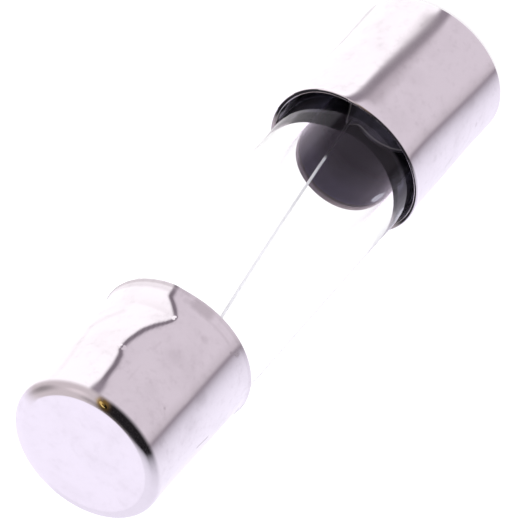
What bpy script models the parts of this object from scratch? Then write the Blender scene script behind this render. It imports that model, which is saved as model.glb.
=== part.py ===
"""Small glass cartridge fuse, standing on the flat end of its bottom cap.

The origin is the middle of that flat end, and +Z runs up the fuse. A thick glass tube is closed by two
drawn caps. Solder in each cap beds the end of the tube and holds one end of the fuse wire, which
crosses the bore from wall to wall. All sizes are in metres.
"""
import math

import bmesh
import bpy

MM = 0.001

# Whole fuse
FUSE_LENGTH = 20.2 * MM

# Drawn end caps, measured from the flat end towards the mouth
CAP_DIAMETER = 5.05 * MM
CAP_LENGTH = 5.3 * MM
CAP_WALL = 0.12 * MM
END_ROUNDING = 0.31 * MM
END_ROUNDING_REACH = 0.42 * MM
INNER_ROUNDING = 0.14 * MM
WAIST_DEPTH = 0.025 * MM
WAIST_HEIGHT = 1.6 * MM
WAIST_SPREAD = 1.2 * MM
LIP_FLARE = 0.08 * MM
LIP_RUN = 0.28 * MM

# Bent lip of the bottom cap: how far it stands out, how far down it reaches and how wide it is
BENT_LIP = 0.03 * MM
BENT_LIP_RUN = 0.9 * MM
BENT_LIP_ANGLE = math.radians(0.0)
BENT_LIP_SPREAD = math.radians(40.0)

# Crooked dent in the side of the top cap: a ridge wanders down to the lip, and the metal on both sides of
# it is pressed flat, up to a steady angle round the cap where each flat runs out
RIDGE_FLAT_START = math.radians(60.5)
RIDGE_FLAT_END = math.radians(73.0)
RIDGE_FADE = math.radians(50.0)
RIDGE_SOFTNESS = math.radians(3.0)
RIDGE_START = 1.0 * MM

# Course of the ridge: height over the cap's flat end, and angle round the cap
RIDGE_COURSE = (
    (END_ROUNDING, math.radians(67.4)),
    (1.0 * MM, math.radians(65.8)),
    (1.5 * MM, math.radians(65.0)),
    (1.97 * MM, math.radians(62.7)),
    (2.14 * MM, math.radians(59.7)),
    (2.3 * MM, math.radians(59.4)),
    (2.62 * MM, math.radians(60.2)),
    (3.2 * MM, math.radians(63.9)),
    (3.6 * MM, math.radians(68.8)),
    (3.9 * MM, math.radians(73.9)),
    (4.16 * MM, math.radians(76.6)),
    (4.34 * MM, math.radians(72.7)),
    (4.6 * MM, math.radians(67.3)),
    (4.83 * MM, math.radians(61.8)),
    (CAP_LENGTH, math.radians(60.0)),
)

# Glass tube, which sits a little to one side of the caps' axis
GLASS_WALL = 0.7 * MM
GLASS_CLEARANCE = 0.08 * MM
GLASS_OFFSET = -0.05 * MM
GLASS_END_ROUNDING = 0.14 * MM

# Solder in each cap
SOLDER_BED = 0.28 * MM
SOLDER_HEIGHT = 2.5 * MM
SOLDER_GAP = 0.02 * MM
MENISCUS_RISE = 0.22 * MM
MOUND_HEIGHT = 0.45 * MM
MOUND_SPREAD = 0.26 * MM

# Fuse wire
WIRE_DIAMETER = 0.09 * MM
WIRE_CLEARANCE = 0.02 * MM
WIRE_OFF_WALL = 0.1 * MM
WIRE_ANCHOR = 0.7 * MM
WIRE_BEND = 0.3 * MM
WIRE_BOTTOM_ANGLE = math.radians(57.0)
WIRE_TOP_ANGLE = math.radians(240.5)

# Fineness of the faceted surfaces
SEGMENTS = 64
SOLDER_SEGMENTS = 48
ARC_STEPS = 5
WALL_STEPS = 22
MENISCUS_STEPS = 6
BEND_STEPS = 4
MERGE_DISTANCE = 0.001 * MM

# Sizes that follow from the ones above
cap_radius = CAP_DIAMETER / 2
cap_bore = cap_radius - CAP_WALL
glass_radius = cap_bore - GLASS_CLEARANCE
glass_bore = glass_radius - GLASS_WALL
bed_bottom = CAP_WALL + SOLDER_GAP
bed_top = bed_bottom + SOLDER_BED
glass_start = bed_top + SOLDER_GAP
glass_length = FUSE_LENGTH - 2 * glass_start
solder_level = CAP_WALL + SOLDER_HEIGHT
wire_radius = WIRE_DIAMETER / 2
wire_reach = glass_bore - WIRE_OFF_WALL - wire_radius


def bell(distance, spread):
    """Smooth hump that is 1 in the middle and close to 0 at twice the spread."""
    return math.exp(-((distance / spread) ** 2))


def ramp(value, start, end):
    """Share of the way from start to end, kept between 0 and 1."""
    return min(max((value - start) / (end - start), 0.0), 1.0)


def arc(centre_x, centre_z, radius, start_deg, end_deg, steps=ARC_STEPS):
    """Points on an arc in the profile plane, both ends included."""
    points = []
    for step in range(steps + 1):
        angle = math.radians(start_deg + (end_deg - start_deg) * step / steps)
        points.append((centre_x + radius * math.cos(angle), centre_z + radius * math.sin(angle)))
    return points


def flare(height):
    """How far the cap's wall leans out close to the mouth."""
    return LIP_FLARE * ramp(height, CAP_LENGTH - LIP_RUN, CAP_LENGTH) ** 1.5


def cap_outside(height):
    """Outer radius of a cap at a height over its flat end."""
    waist = WAIST_DEPTH * bell(height - WAIST_HEIGHT, WAIST_SPREAD)
    return cap_radius - waist + flare(height)


def cap_profile():
    """Half section of a cap: inside floor, inner wall, lip, outer wall and flat end."""
    inside = cap_bore + flare(CAP_LENGTH)
    outside = cap_outside(CAP_LENGTH)
    lip_radius = (outside - inside) / 2
    lip_base = CAP_LENGTH - lip_radius
    floor_edge = CAP_WALL + INNER_ROUNDING
    side_start = END_ROUNDING

    points = [(0.0, CAP_WALL)]
    points += arc(cap_bore - INNER_ROUNDING, floor_edge, INNER_ROUNDING, -90, 0, 3)
    points.append((cap_bore, CAP_LENGTH - LIP_RUN))
    points.append((cap_bore + flare(CAP_LENGTH - LIP_RUN / 3), CAP_LENGTH - LIP_RUN / 3))
    points += arc(inside + lip_radius, lip_base, lip_radius, 180, 0, 4)
    for step in range(1, WALL_STEPS):
        height = lip_base + (side_start - lip_base) * step / WALL_STEPS
        points.append((cap_outside(height), height))
    flat_edge = cap_outside(side_start) - END_ROUNDING_REACH
    for share_out, share_up in arc(0.0, 0.0, 1.0, 0, -90):
        points.append((flat_edge + END_ROUNDING_REACH * share_out, side_start + END_ROUNDING * share_up))
    points.append((0.0, 0.0))
    return points


def tube_profile():
    """Closed section of the glass wall, with its ends melted round."""
    top = glass_start + glass_length
    rounding = GLASS_END_ROUNDING
    outer_x = glass_radius - rounding
    inner_x = glass_bore + rounding
    points = arc(outer_x, top - rounding, rounding, 90, 0, 3)
    points += arc(outer_x, glass_start + rounding, rounding, 0, -90, 3)
    points += arc(inner_x, glass_start + rounding, rounding, -90, -180, 3)
    points += arc(inner_x, top - rounding, rounding, 180, 90, 3)
    points.append(points[0])
    return points


def solder_profile():
    """Half section of the solder: a dished plug in the bore on a bed under the glass."""
    plug = glass_bore - SOLDER_GAP
    bed = cap_bore - SOLDER_GAP
    points = []
    for step in range(MENISCUS_STEPS + 1):
        share = step / MENISCUS_STEPS
        points.append((plug * share, solder_level + MENISCUS_RISE * share ** 4))
    points.append((plug, bed_top))
    points.append((bed, bed_top))
    points += arc(bed - INNER_ROUNDING, bed_bottom + INNER_ROUNDING, INNER_ROUNDING, 0, -90, 3)
    points.append((0.0, bed_bottom))
    return points


def surface(name, colour, roughness, metallic, transmission=0.0):
    """Plain surface of one part."""
    material = bpy.data.materials.new(name)
    material.use_nodes = True
    shader = material.node_tree.nodes["Principled BSDF"]
    shader.inputs["Base Color"].default_value = (*colour, 1.0)
    shader.inputs["Roughness"].default_value = roughness
    shader.inputs["Metallic"].default_value = metallic
    shader.inputs["Transmission Weight"].default_value = transmission
    return material


def add_object(name, data, collection, material=None):
    """Object made from its data, in a collection and with a material."""
    obj = bpy.data.objects.new(name, data)
    collection.objects.link(obj)
    if material:
        data.materials.append(material)
    return obj


def as_mesh(obj):
    """Swap an object's modifiers or curve for the mesh that they make, doubles merged."""
    graph = bpy.context.evaluated_depsgraph_get()
    graph.update()
    mesh = bpy.data.meshes.new_from_object(obj.evaluated_get(graph))
    mesh.name = obj.name
    work = bmesh.new()
    work.from_mesh(mesh)
    bmesh.ops.remove_doubles(work, verts=work.verts, dist=MERGE_DISTANCE)
    work.to_mesh(mesh)
    work.free()
    solid = bpy.data.objects.new(obj.name, mesh)
    solid.matrix_world = obj.matrix_world
    for collection in obj.users_collection:
        collection.objects.link(solid)
    name = obj.name
    bpy.data.objects.remove(obj)
    solid.name = name
    mesh.shade_smooth()
    mesh.set_sharp_from_angle(angle=math.radians(40))
    return solid


def turned(name, profile, segments, collection, material):
    """Solid of revolution about Z from a half section."""
    mesh = bpy.data.meshes.new(name)
    work = bmesh.new()
    verts = [work.verts.new((x, 0.0, z)) for x, z in profile]
    for first, second in zip(verts, verts[1:]):
        work.edges.new((first, second))
    bmesh.ops.remove_doubles(work, verts=work.verts, dist=MERGE_DISTANCE)
    work.to_mesh(mesh)
    work.free()
    obj = add_object(name, mesh, collection, material)
    screw = obj.modifiers.new("turn", "SCREW")
    screw.angle = math.tau
    screw.steps = segments
    screw.render_steps = segments
    screw.use_merge_vertices = True
    screw.merge_threshold = MERGE_DISTANCE
    return as_mesh(obj)


def turn_from(angle, centre):
    """Signed angle from a centre, the short way round."""
    return (angle - centre + math.pi) % math.tau - math.pi


def push_radially(vertex, amount):
    """Move a vertex away from the cap's axis."""
    radius = math.hypot(vertex.co.x, vertex.co.y)
    share = (radius + amount) / radius
    vertex.co.x *= share
    vertex.co.y *= share


def smooth_ramp(value, start, end):
    """Share of the way from start to end, with a soft start and finish."""
    share = ramp(value, start, end)
    return share * share * (3.0 - 2.0 * share)


def ridge_angle(height):
    """Angle round the cap where the ridge of the dent stands, at a height over the flat end."""
    for (low, angle), (high, next_angle) in zip(RIDGE_COURSE, RIDGE_COURSE[1:]):
        if height <= high:
            return angle + (next_angle - angle) * ramp(height, low, high)
    return RIDGE_COURSE[-1][1]


def pressed_flat(away, width):
    """Depth of a flat that starts at the soft ridge, is a width wide and then fades back to round."""
    if width <= 0.0 or away <= -RIDGE_SOFTNESS:
        return 0.0
    if away < RIDGE_SOFTNESS:
        away = (away + RIDGE_SOFTNESS) ** 2 / (4.0 * RIDGE_SOFTNESS)
    depth = cap_radius * width ** 2 / 2
    if away < width:
        return depth - cap_radius * (width - away) ** 2 / 2
    return depth * (1.0 - smooth_ramp(away, width, width + RIDGE_FADE))


def dent_side(cap):
    """Press both flanks of the crooked ridge into the outer face of a cap's side."""
    half_wall = cap_radius - CAP_WALL / 2
    for vertex in cap.data.vertices:
        radius = math.hypot(vertex.co.x, vertex.co.y)
        if radius < half_wall or vertex.co.z < END_ROUNDING:
            continue
        ridge = ridge_angle(vertex.co.z)
        away = turn_from(math.atan2(vertex.co.y, vertex.co.x), ridge)
        depth = pressed_flat(away, RIDGE_FLAT_END - ridge) + pressed_flat(-away, ridge - RIDGE_FLAT_START)
        push_radially(vertex, -depth * smooth_ramp(vertex.co.z, END_ROUNDING, RIDGE_START))


def bend_lip(cap):
    """Lean one stretch of the mouth's lip outwards, inner and outer face together."""
    for vertex in cap.data.vertices:
        reach = ramp(vertex.co.z, CAP_LENGTH - BENT_LIP_RUN, CAP_LENGTH)
        if reach == 0.0:
            continue
        angle = math.atan2(vertex.co.y, vertex.co.x)
        across = bell(turn_from(angle, BENT_LIP_ANGLE), BENT_LIP_SPREAD)
        push_radially(vertex, BENT_LIP * reach ** 2 * across)


def upside_down(obj):
    """Place a part that is modelled on the bottom end at the top end of the fuse."""
    obj.rotation_euler = (math.pi, 0.0, 0.0)
    obj.location = (0.0, 0.0, FUSE_LENGTH)


def wire_route():
    """Points of the wire: up out of one solder, slantwise through the bore, up into the other."""
    bottom = (math.cos(WIRE_BOTTOM_ANGLE) * wire_reach, math.sin(WIRE_BOTTOM_ANGLE) * wire_reach)
    top = (math.cos(WIRE_TOP_ANGLE) * wire_reach, math.sin(WIRE_TOP_ANGLE) * wire_reach)
    middle = ((bottom[0] + top[0]) / 2, (bottom[1] + top[1]) / 2)
    swing = ((bottom[0] - top[0]) / 2, (bottom[1] - top[1]) / 2)
    half = FUSE_LENGTH / 2
    entry = solder_level + MENISCUS_RISE
    corner = entry - half
    lower = [(1.0, corner - WIRE_ANCHOR), (1.0, corner - WIRE_BEND)]
    slope = 1.0 / abs(corner)
    for step in range(1, BEND_STEPS + 1):
        share = step / BEND_STEPS
        height = corner - WIRE_BEND + 2 * WIRE_BEND * share
        lower.append((1.0 - slope * WIRE_BEND * share ** 2, height))
    upper = [(-share, -height) for share, height in reversed(lower)]
    points = []
    for share, height in lower + upper:
        points.append((middle[0] + swing[0] * share, middle[1] + swing[1] * share, half + height))
    return points


def wire_curve(name, route, radius, collection, material=None):
    """Round wire along a route of points."""
    curve = bpy.data.curves.new(name, "CURVE")
    curve.dimensions = "3D"
    curve.bevel_depth = radius
    curve.bevel_resolution = 2
    curve.use_fill_caps = True
    spline = curve.splines.new("POLY")
    spline.points.add(len(route) - 1)
    for point, place in zip(spline.points, route):
        point.co = (*place, 1.0)
    return add_object(name, curve, collection, material)


def lengthened(route, extra):
    """The same route with both ends carried on by a little."""
    first = (route[0][0], route[0][1], route[0][2] - extra)
    last = (route[-1][0], route[-1][1], route[-1][2] + extra)
    return [first] + route[1:-1] + [last]


def shift_plug(solder):
    """Move the solder inside the bore over to the tube's own axis."""
    for vertex in solder.data.vertices:
        inside_bore = math.hypot(vertex.co.x, vertex.co.y) < glass_bore
        if inside_bore and vertex.co.z > bed_top - MERGE_DISTANCE:
            vertex.co.x += GLASS_OFFSET


def heap_round_wire(solder, angle):
    """Raise the solder's dished face where the wire comes out of it."""
    centre_x = math.cos(angle) * wire_reach
    centre_y = math.sin(angle) * wire_reach
    for vertex in solder.data.vertices:
        if vertex.co.z < solder_level - SOLDER_GAP:
            continue
        distance = math.hypot(vertex.co.x - centre_x, vertex.co.y - centre_y)
        vertex.co.z += MOUND_HEIGHT * bell(distance, MOUND_SPREAD)


def drill(obj, cutter):
    """Cut a piece by another solid."""
    cut = obj.modifiers.new("wire hole", "BOOLEAN")
    cut.operation = "DIFFERENCE"
    cut.solver = "EXACT"
    cut.object = cutter


def make_caps(collection, plating):
    """Both end caps: the bent lip is on the bottom one and the dent is in the top one."""
    bottom = turned("bottom_cap", cap_profile(), SEGMENTS, collection, plating)
    bend_lip(bottom)
    top = turned("top_cap", cap_profile(), SEGMENTS, collection, plating)
    dent_side(top)
    upside_down(top)
    return [bottom, top]


def make_solder(collection, material, wire_hole):
    """Both solder fillings, each with a heap round the wire and the wire's hole."""
    bottom = turned("bottom_solder", solder_profile(), SOLDER_SEGMENTS, collection, material)
    top = turned("top_solder", solder_profile(), SOLDER_SEGMENTS, collection, material)
    for solder, wire_angle in ((bottom, WIRE_BOTTOM_ANGLE), (top, -WIRE_TOP_ANGLE)):
        shift_plug(solder)
        heap_round_wire(solder, wire_angle)
        drill(solder, wire_hole)
    upside_down(top)
    return [bottom, top]


def main():
    """Clear the scene and build every part of the fuse."""
    for obj in list(bpy.data.objects):
        bpy.data.objects.remove(obj)
    parts = bpy.data.collections.new("glass_cartridge_fuse")
    cutters = bpy.data.collections.new("cutters")
    for collection in (parts, cutters):
        bpy.context.scene.collection.children.link(collection)

    plating = surface("bright_nickel", (0.76, 0.72, 0.74), 0.12, 1.0)
    clear = surface("clear_glass", (0.98, 0.98, 0.98), 0.02, 0.0, 1.0)
    tin = surface("dull_solder", (0.3, 0.3, 0.32), 0.45, 1.0)
    tinned = surface("tinned_wire", (0.75, 0.75, 0.77), 0.25, 1.0)

    route = wire_route()
    hole = wire_curve("wire_hole", lengthened(route, WIRE_CLEARANCE), wire_radius + WIRE_CLEARANCE, cutters)
    hole = as_mesh(hole)
    hole.hide_render = True
    hole.display_type = "WIRE"

    pieces = make_caps(parts, plating)
    tube = turned("glass_tube", tube_profile(), SEGMENTS, parts, clear)
    tube.location.x = GLASS_OFFSET
    pieces.append(tube)
    pieces += make_solder(parts, tin, hole)
    pieces.append(wire_curve("fuse_wire", route, wire_radius, parts, tinned))

    axis = add_object("fuse_axis", None, parts)
    for piece in pieces + [hole]:
        piece.parent = axis


main()
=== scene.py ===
"""Dresses the glass cartridge fuse: plated caps, thick glass, solder, fuse wire and a small studio."""

import math

import bmesh
import bpy
from bpy.props import FloatProperty, FloatVectorProperty, IntProperty, PointerProperty
from mathutils import Matrix, Vector


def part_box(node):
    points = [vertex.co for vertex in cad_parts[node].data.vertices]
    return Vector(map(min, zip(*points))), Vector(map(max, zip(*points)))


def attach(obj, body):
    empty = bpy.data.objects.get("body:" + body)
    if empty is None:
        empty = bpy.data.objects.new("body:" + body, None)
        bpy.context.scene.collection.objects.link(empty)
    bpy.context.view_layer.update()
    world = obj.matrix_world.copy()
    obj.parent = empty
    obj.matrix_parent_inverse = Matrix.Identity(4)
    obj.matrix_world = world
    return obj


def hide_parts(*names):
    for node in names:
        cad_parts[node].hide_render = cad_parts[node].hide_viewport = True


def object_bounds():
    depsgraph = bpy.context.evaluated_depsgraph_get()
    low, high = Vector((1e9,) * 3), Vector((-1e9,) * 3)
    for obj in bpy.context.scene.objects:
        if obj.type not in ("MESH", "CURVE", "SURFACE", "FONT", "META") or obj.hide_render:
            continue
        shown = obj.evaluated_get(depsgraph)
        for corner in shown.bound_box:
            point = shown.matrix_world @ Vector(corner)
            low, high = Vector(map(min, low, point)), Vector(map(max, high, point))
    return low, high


bl_info = {
    "name": "Glass Cartridge Fuse",
    "version": (1, 0, 0),
    "blender": (4, 5, 0),
    "location": "View3D > Sidebar > Fuse",
    "description": "Builds a small glass cartridge fuse and the studio it is shown in",
    "category": "Object",
}

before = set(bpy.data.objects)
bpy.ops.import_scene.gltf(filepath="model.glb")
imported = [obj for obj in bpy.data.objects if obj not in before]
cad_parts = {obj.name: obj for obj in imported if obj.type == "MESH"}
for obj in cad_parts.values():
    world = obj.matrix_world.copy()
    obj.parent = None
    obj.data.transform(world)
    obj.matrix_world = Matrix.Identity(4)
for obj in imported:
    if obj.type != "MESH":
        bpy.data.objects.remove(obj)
cad_low, cad_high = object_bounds()

MM = 0.001
PICTURE_SIDE = 520
SENSOR_WIDTH = 36.0
MERGE_DISTANCE = 0.0002 * MM
LAMP_PLACE = Vector((-0.12, -0.1, 0.4))
FLOOR_GAP = 0.01 * MM

# Course of the ridge in the dented side: millimetres over the cap's flat end, degrees round the cap
RIDGE_COURSE = (
    (0.31, 67.4),
    (1.0, 65.8),
    (1.5, 65.0),
    (1.97, 62.7),
    (2.14, 59.7),
    (2.3, 59.4),
    (2.62, 60.2),
    (3.2, 63.9),
    (3.6, 68.8),
    (3.9, 73.9),
    (4.16, 76.6),
    (4.34, 72.7),
    (4.6, 67.3),
    (4.83, 61.8),
    (5.3, 60.0),
)

# Layer that holds painted shade, a dark line along the ridge, and the heights in millimetres where the line gives
# out
RIDGE_SHADE_LAYER = "painted_ridge_shade"
RIDGE_SHADE_GAPS = (2.25, 4.16, 5.15)

# Soft stains on a cap's side: degrees from the front, height in millimetres; radius in millimetres; strength
TOP_SPOTS = (
    ((9.6, 15.95), 0.2, 0.3),
    ((20.9, 18.76), 0.08, 0.6),
    ((2.4, 17.2), 0.4, 0.16),
    ((4.4, 18.7), 0.35, 0.12),
    ((-17.0, 15.2), 0.2, 0.25),
    ((34.0, 15.22), 0.16, 0.7),
    ((36.0, 17.3), 0.4, 0.3),
    ((46.0, 18.1), 0.4, 0.15),
)
BOTTOM_SPOTS = (
    ((62.9, 1.66), 0.12, 0.35),
    ((-35.0, 2.57), 0.3, 0.12),
    ((42.0, 1.75), 0.3, 0.25),
    ((-3.0, 3.0), 0.5, 0.12),
)

# Streaks on a cap's side: both ends, then radius and strength as for the stains
TOP_STREAKS = (
    ((-11.0, 18.9), (-11.5, 17.1), 0.08, 0.3),
    ((-11.5, 17.1), (3.6, 17.9), 0.05, 0.2),
    ((70.7, 17.84), (72.3, 17.26), 0.07, 1.0),
    ((-59.5, 19.37), (-68.0, 17.2), 0.16, 0.2),
    ((-68.0, 17.2), (-51.0, 16.5), 0.2, 0.25),
    ((30.0, 15.43), (35.0, 15.2), 0.07, 0.7),
    ((-10.0, 15.16), (0.0, 15.16), 0.3, 0.75),
)
BOTTOM_STREAKS = (
    ((-20.0, 0.8), (-16.0, 4.6), 0.55, 0.75),
    ((-66.0, 1.4), (-70.0, 4.4), 0.3, 0.05),
)

# Pimples on the top cap: where the ridge turns a corner, in degrees from the front and millimetres of height,
# and where the plating is worn through to the brass
RIDGE_CORNERS = ((-30.4, 17.96), (-13.6, 16.04))
CORNER_RADIUS = 0.17 * MM
BRASS_SPOT = (0.526 * MM, -2.277 * MM, 20.149 * MM)
BRASS_RADIUS = 0.22 * MM
BURR_RADIUS = 0.07 * MM
PIMPLE_HEIGHT = 0.014 * MM

# Painted light on the inner faces of the caps: a painted glint, the middle and the radius of its two stretches of
# painted sheen, the side where its painted shade is black, and the heights over the flat end at which its painted
# shade turns dark, turns black and gives way to the lip's ring
PAINTED_GLINT_SPOT = (-2.19 * MM, 0.99 * MM, 4.87 * MM)
PAINTED_GLINT_RADIUS = 0.5 * MM
PAINTED_SHEENS = (((2.28 * MM, 0.74 * MM, 4.9 * MM), 1.6 * MM), ((-2.38 * MM, 0.3 * MM, 4.9 * MM), 0.7 * MM))
DARK_SIDE = (0.26, -0.966, 0.0)
DARK_HEIGHTS = (4.9 * MM, 3.7 * MM)
BLACK_HEIGHTS = (4.8 * MM, 4.95 * MM)
RING_HEIGHTS = (5.12 * MM, 5.18 * MM)

# Borders in the tent, each from one colour to the next, in degrees across or, for the last three, in degrees up
TABLE_START = (-27.0, -22.0)
LEFT_EDGE_START = (-29.3, -25.0)
LEFT_EDGE_END = (-17.2, -21.0)
TABLE_SHADE = (20.0, 34.0)
RIGHT_EDGE = (28.5, 32.0)
CLOTH_END = (-75.0, -95.0)
SEAM_START = (-21.0, -15.0)
ROOM_START = (-12.0, -6.0)
SEAM_RISE = (56.0, 78.0)
ROOM_RISE = (74.0, 94.0)
ZENITH = (86.0, 90.0)

# Folds in the tent's cloth: degrees across and up, reach in the same, and level of the cloth's colour
CLOTH_FOLDS = (
    ((-68.0, 59.0), (20.0, 20.0), 0.52),
    ((-36.0, 60.0), (14.0, 12.0), 1.25),
    ((-25.0, 76.0), (12.0, 11.0), 0.62),
)

cap_low, cap_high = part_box("bottom_cap")
tube_low, tube_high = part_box("glass_tube")


def length(name, description, default):
    """A size in metres that the user may change."""
    return FloatProperty(name=name, description=description, default=default, min=0.0, subtype="DISTANCE",
                         unit="LENGTH", precision=6)


def angle(name, description, degrees):
    """An angle that the user may change, given here in degrees."""
    return FloatProperty(name=name, description=description, default=math.radians(degrees), subtype="ANGLE",
                         unit="ROTATION")


def number(name, description, default):
    """A plain number that the user may change."""
    return FloatProperty(name=name, description=description, default=default, precision=4)


def colour(name, description, default):
    """A colour that the user may change, in linear light."""
    return FloatVectorProperty(name=name, description=description, default=default, size=3, min=0.0,
                               max=2.0, subtype="COLOR")


class FUSE_PG_sizes(bpy.types.PropertyGroup):
    """Sizes of the fuse's pieces."""

    fuse_length: length("Fuse length", "From flat end to flat end", cad_high.z)
    cap_length: length("Cap length", "From a cap's flat end to its lip", cap_high.z - cap_low.z)
    cap_radius: length("Cap radius", "Outside radius of a cap's round side", 2.525 * MM)
    cap_wall: length("Cap wall", "Thickness of the drawn sheet", 0.12 * MM)
    end_rounding: length("End rounding", "Height of the rounded edge over the flat end", 0.31 * MM)
    end_rounding_reach: length("End rounding reach", "How far the edge reaches over the flat end", 0.42 * MM)
    inner_rounding: length("Inner rounding", "Radius inside the closed end", 0.14 * MM)
    waist_depth: length("Waist depth", "Depth of the waist behind the rounded end", 0.025 * MM)
    waist_height: length("Waist height", "Middle of the waist over the flat end", 1.6 * MM)
    waist_spread: length("Waist spread", "Half the height of the waist", 1.2 * MM)
    lip_flare: length("Lip flare", "How far the lip stands out", 0.06 * MM)
    lip_run: length("Lip run", "Height over which the lip leans out", 0.28 * MM)
    bent_lip: length("Bent lip", "How far the bent stretch of lip stands out", 0.12 * MM)
    bent_lip_run: length("Bent lip run", "Height over which the lip is bent", 0.9 * MM)
    bent_lip_angle: angle("Bent lip angle", "Middle of the bent stretch round the bottom cap", -42.0)
    bent_lip_spread: angle("Bent lip spread", "Half the width of the bent stretch", 28.0)
    # The stretch of the bottom cap's lip that takes the inner material, with its painted shade
    shaded_lip: number("Stained lip", "How far the film reaches over the bottom cap's lip", 0.55)
    shaded_lip_angle: angle("Stained lip angle", "Middle of the stained stretch", -30.0)
    shaded_lip_spread: angle("Stained lip spread", "Half the width of the stained stretch", 38.0)
    ridge_flat_start: angle("Flat start", "Where the flat on one side of the top cap's ridge starts", 60.5)
    ridge_flat_end: angle("Flat end", "Where the flat on the other side of the ridge ends", 73.0)
    ridge_fade: angle("Flat fade", "How far the flats take to fade back to round", 50.0)
    ridge_softness: angle("Ridge softness", "Half the width of the rounding along the ridge", 3.0)
    # Half the width of the painted shade along the ridge
    ridge_shade_spread: angle("Crease spread", "Half the width of the dark line along the ridge", 1.8)
    ridge_start: length("Ridge start", "Height over the flat end from which the ridge stands out fully", 1.0 * MM)
    glass_radius: length("Glass radius", "Outside radius of the tube", (tube_high.x - tube_low.x) / 2)
    glass_offset: length("Glass offset", "How far the tube sits off the axis, towards -X", 0.05 * MM)
    glass_wall: length("Glass wall", "Thickness of the tube's wall", 0.7 * MM)
    glass_rounding: length("Glass rounding", "Radius of the tube's melted ends", 0.14 * MM)
    glass_start: length("Glass start", "Height of the tube's lower end", tube_low.z)
    solder_gap: length("Solder gap", "Gap between the solder and its neighbours", 0.02 * MM)
    solder_bed: length("Solder bed", "Thickness of the solder under the glass", 0.28 * MM)
    solder_level: length("Solder level", "Height of the solder's face at its middle", 2.62 * MM)
    meniscus_rise: length("Meniscus rise", "How far the solder climbs the bore", 0.22 * MM)
    mound_height: length("Mound height", "Height of the heap round the wire", 0.45 * MM)
    mound_spread: length("Mound spread", "Radius of the heap round the wire", 0.26 * MM)
    wire_radius: length("Wire radius", "Radius of the fuse wire", 0.045 * MM)
    wire_off_wall: length("Wire off wall", "Gap between the wire and the bore's wall", 0.1 * MM)
    wire_anchor: length("Wire anchor", "How deep the wire goes into the solder", 0.7 * MM)
    wire_bend: length("Wire bend", "Half the height of the wire's bend", 0.3 * MM)
    wire_bottom_angle: angle("Wire bottom angle", "Side of the bore that the wire starts on", 57.0)
    wire_top_angle: angle("Wire top angle", "Side of the bore that the wire ends on", 240.5)
    oval_turn: angle("Oval turn", "Turn of the bottom cap's reflections at its mouth", 2.0)
    oval_turn_end: angle("Oval turn at the end", "Further turn of the reflections at its flat end", 4.6)
    turn_steps: IntProperty(name="Turn steps", description="Facets round a turned piece", default=192, min=24)


class FUSE_PG_finishes(bpy.types.PropertyGroup):
    """Colours of the fuse's surfaces."""

    nickel: colour("Nickel", "Bright plating of the caps", (0.84, 0.805, 0.83))
    # Also the colour of painted shade along the top cap's lip and of a painted highlight round the solder's face
    tarnish_and_painted_light: colour("Tarnish", "Stained patches in the plating", (0.59, 0.55, 0.57))
    # Painted shade: the dark line along the ridge of the dent
    painted_ridge_shade: colour("Crease", "Dark line along the ridge of the dent", (0.16, 0.13, 0.145))
    brass: colour("Brass", "Bare metal where the plating is worn through", (0.85, 0.62, 0.2))
    # Painted shade: near black for the deep, narrow gap inside the caps
    painted_gap_shade: colour("Smut", "Dark film inside the caps", (0.012, 0.011, 0.013))
    # Painted sheen and painted highlight: lavender and bright metal inside the caps near the lip
    painted_sheen: colour("Thin film", "Metal that shows through the film near the lip", (0.6, 0.56, 0.78))
    painted_highlight: colour("Thinnest film", "Bright metal at both sides of the mouth", (0.92, 0.85, 1.0))
    lip_ring: colour("Lip ring", "Inner edge of a cap's lip", (0.5, 0.46, 0.45))
    glass: colour("Glass", "Tint of the glass", (0.985, 0.985, 0.99))
    # Partly painted shade: kept very dark for the bottom of the cap it sits in
    solder: colour("Solder", "Dull face of the solder", (0.04, 0.036, 0.05))
    # Painted highlight: a small bright glint inside the cap
    painted_glint: colour("Fleck", "Bare spot in the film", (0.88, 0.9, 1.0))
    # Also painted shade on the solder and on the wire's end inside the bottom cap
    flux_and_shade: colour("Flux", "Dark flux left on the solder", (0.01, 0.009, 0.01))
    tin: colour("Tin", "Tinned surface of the wire", (0.97, 0.96, 0.98))


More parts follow.
